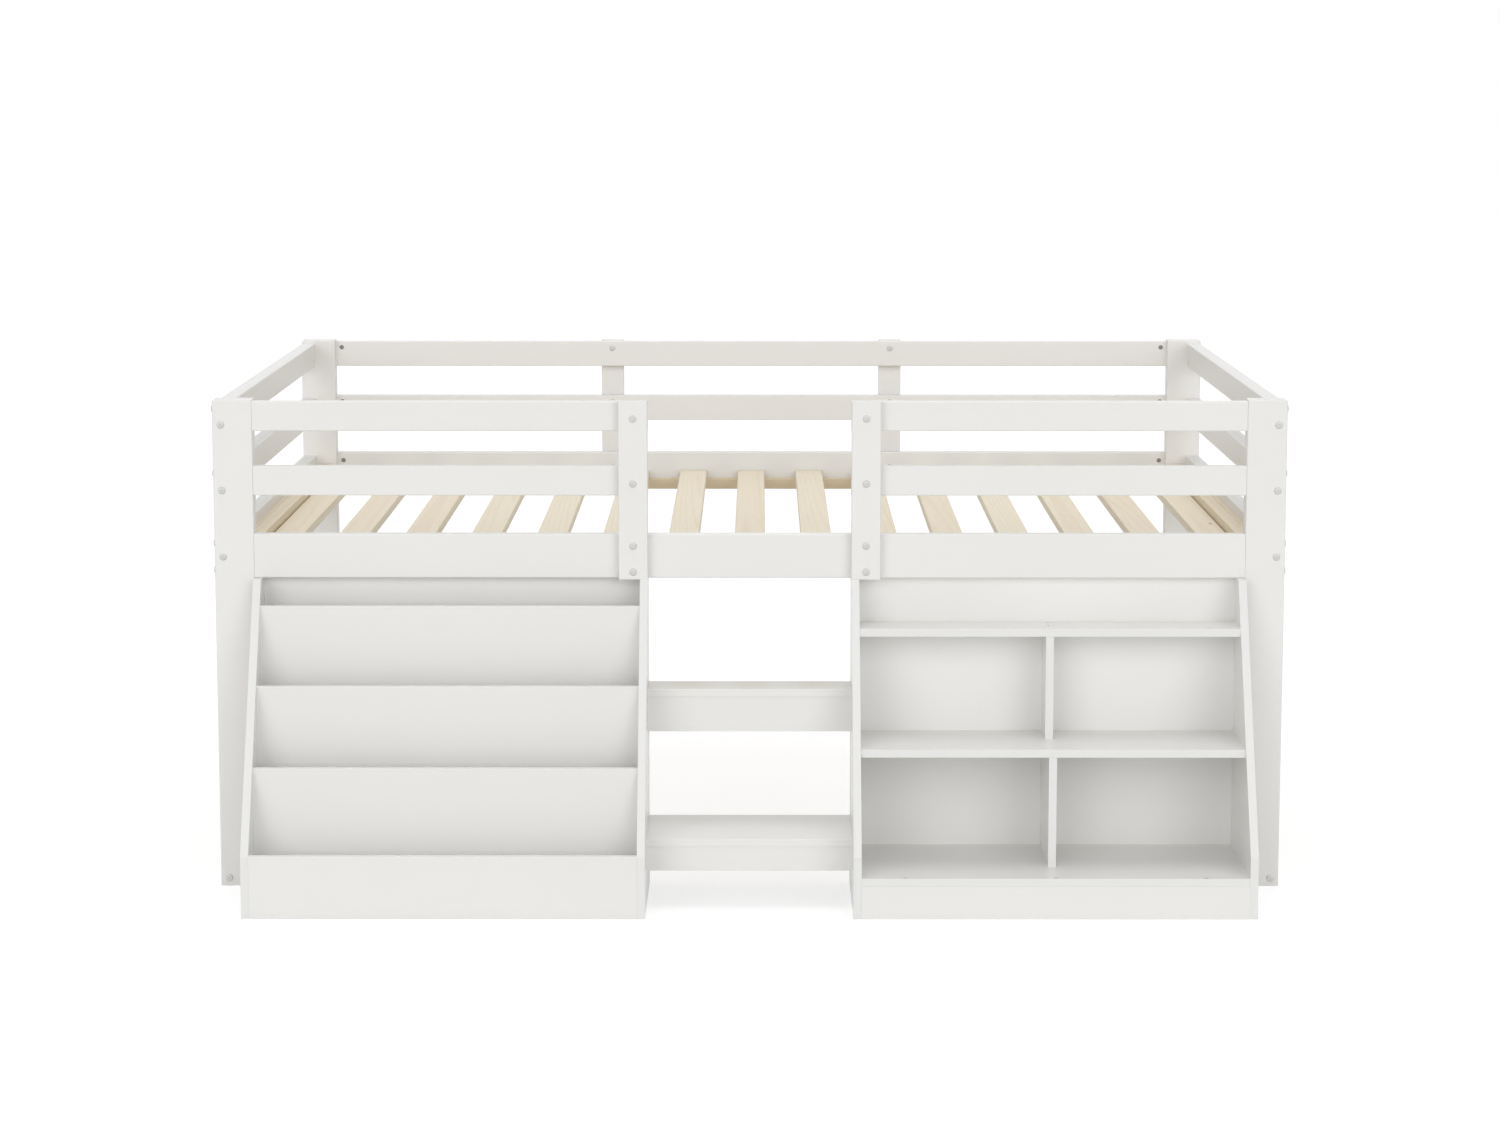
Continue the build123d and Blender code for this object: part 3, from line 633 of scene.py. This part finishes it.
class BED_OT_finish_display(bpy.types.Operator):
    """Paint the book display"""
    bl_idname = "bed.finish_display"
    bl_label = "Book Display"

    def execute(self, context):
        finish_nodes([f"pocket_board_{index}" for index in (1, 2, 3)] + ["display_kick_board"], "board")
        finish_nodes([f"pocket_floor_{index}" for index in (1, 2, 3, 4)], "board")
        finish_nodes(["display_outer_panel", "display_inner_panel"], "banded")
        finish_nodes(["display_back_panel"], "hardboard")
        return {"FINISHED"}


class BED_OT_finish_cubbies(bpy.types.Operator):
    """Paint the cubby cabinet"""
    bl_idname = "bed.finish_cubbies"
    bl_label = "Cubby Cabinet"

    def execute(self, context):
        finish_nodes(["top_shelf", "middle_shelf", "bottom_shelf"], "banded")
        finish_nodes(["upper_divider", "lower_divider"], "banded")
        finish_nodes(["cubby_outer_panel", "cubby_inner_panel"], "banded")
        finish_nodes(["plinth"], "board")
        finish_nodes(["cubby_back_panel"], "hardboard")
        return {"FINISHED"}


class BED_OT_finish_steps(bpy.types.Operator):
    """Paint the treads and risers"""
    bl_idname = "bed.finish_steps"
    bl_label = "Steps"

    def execute(self, context):
        finish_nodes(["upper_tread", "lower_tread", "upper_riser", "lower_riser"], "board")
        return {"FINISHED"}


class BED_OT_model_bolts(bpy.types.Operator):
    """Model the button-head bolts of the legs and posts"""
    bl_idname = "bed.model_bolts"
    bl_label = "Bolts"

    def execute(self, context):
        for node in ("leg_face_bolts", "leg_side_bolts", "post_bolts"):
            place_bolts(node, context.scene.bed_bolt)
        return {"FINISHED"}


class BED_OT_finish_fittings(bpy.types.Operator):
    """Finish the barrel nuts, screws and dowels"""
    bl_idname = "bed.finish_fittings"
    bl_label = "Nuts, Screws and Dowels"

    def execute(self, context):
        # Dark nuts: their coat, and painted shade for the holes they sit in.
        finish_nodes(["barrel_nuts"], "phosphate")
        finish_nodes(["cabinet_screws"], "zinc")
        finish_nodes(["dowels"], "beech")
        return {"FINISHED"}


def floor_material():
    """Seamless pale paper. The camera sees it lifted towards white, and the bed's shadow stays on it."""
    material, tree, shader = new_material("seamless_paper")
    shader.inputs["Roughness"].default_value = 0.9
    shader.inputs["Specular IOR Level"].default_value = 0.0
    seen = seen_directly(tree)
    colour = blend_colours(tree, seen, chosen("floor"), linear(FLOOR_SEEN))
    tree.links.new(colour, shader.inputs["Base Color"])
    shader.inputs["Emission Color"].default_value = WHITE
    tree.links.new(calculate(tree, "MULTIPLY", seen, FLOOR_LIFT), shader.inputs["Emission Strength"])
    return material


class BED_OT_set_stage(bpy.types.Operator):
    """Lay the floor, set the lights and place the camera"""
    bl_idname = "bed.set_stage"
    bl_label = "Stage"

    def execute(self, context):
        scene = context.scene
        stage, view = scene.bed_stage, scene.bed_camera
        bpy.ops.object.select_all(action="DESELECT")
        bpy.ops.mesh.primitive_plane_add(size=stage.floor_size, location=(0, 0, 0))
        floor = context.object
        floor.name = "floor"
        floor.data.materials.append(floor_material())

        world = bpy.data.worlds.new("white_room")
        world.use_nodes = True
        tree = world.node_tree
        tree.nodes.clear()
        strength = calculate(tree, "MULTIPLY_ADD", seen_directly(tree), 1.0 - stage.sky, stage.sky)
        light = add_node(tree, "ShaderNodeBackground", {"Strength": strength, "Color": WHITE})
        add_node(tree, "ShaderNodeOutputWorld", {"Surface": light.outputs["Background"]})
        scene.world = world

        leg_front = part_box("front_left_leg")[0].y
        level = math.radians(90) - stage.front_height
        lamps = (
            ("front_left_light", stage.front, (level, 0.0, -stage.front_side)),
            ("front_right_light", stage.front, (level, 0.0, stage.front_side)),
            ("rear_light", stage.rear, (math.radians(90) - stage.rear_height, 0.0, math.radians(180))),
            ("top_light", stage.top, (0.0, 0.0, 0.0)),
        )
        for name, strength, turn in lamps:
            bpy.ops.object.light_add(type="SUN", location=(0.0, leg_front, LAMP_HEIGHT), rotation=turn)
            lamp = context.object
            lamp.name = name
            lamp.data.energy = strength
            lamp.data.angle = stage.softness

        turn = (math.radians(90) - view.pitch, 0.0, view.yaw)
        lens_place = (view.offset, leg_front - view.distance, view.height)
        bpy.ops.object.camera_add(location=lens_place, rotation=turn)
        camera = context.object
        camera.name = "camera"
        camera.data.sensor_width = SENSOR_WIDTH
        camera.data.lens = view.lens
        camera.data.shift_y = view.shift
        scene.camera = camera
        scene.view_settings.view_transform = "Standard"
        return {"FINISHED"}


OPERATORS = (
    BED_OT_finish_legs,
    BED_OT_finish_rails,
    BED_OT_finish_deck,
    BED_OT_finish_display,
    BED_OT_finish_cubbies,
    BED_OT_finish_steps,
    BED_OT_model_bolts,
    BED_OT_finish_fittings,
    BED_OT_set_stage,
)


class BED_PT_panel(bpy.types.Panel):
    """Lists the bed's groups of pieces and its stage"""
    bl_idname = "BED_PT_panel"
    bl_label = "Low Loft Bed"
    bl_space_type = "VIEW_3D"
    bl_region_type = "UI"
    bl_category = "Loft Bed"

    def draw(self, context):
        for operator in OPERATORS:
            self.layout.operator(operator.bl_idname)
        for place in SETTINGS:
            settings = getattr(context.scene, place)
            box = self.layout.box()
            for name in settings.bl_rna.properties.keys():
                if name not in ("rna_type", "name"):
                    box.prop(settings, name)


SETTINGS = {
    "bed_colours": BED_PG_colours,
    "bed_bolt": BED_PG_bolt,
    "bed_camera": BED_PG_camera,
    "bed_stage": BED_PG_stage,
}
CLASSES = tuple(SETTINGS.values()) + OPERATORS + (BED_PT_panel,)


def register():
    for cls in CLASSES:
        bpy.utils.register_class(cls)
    for place, group in SETTINGS.items():
        setattr(bpy.types.Scene, place, PointerProperty(type=group))


def unregister():
    for place in SETTINGS:
        delattr(bpy.types.Scene, place)
    for cls in reversed(CLASSES):
        bpy.utils.unregister_class(cls)


def main():
    register()
    for operator in OPERATORS:
        category, name = operator.bl_idname.split(".")
        getattr(getattr(bpy.ops, category), name)()


if __name__ == "__main__":
    main()
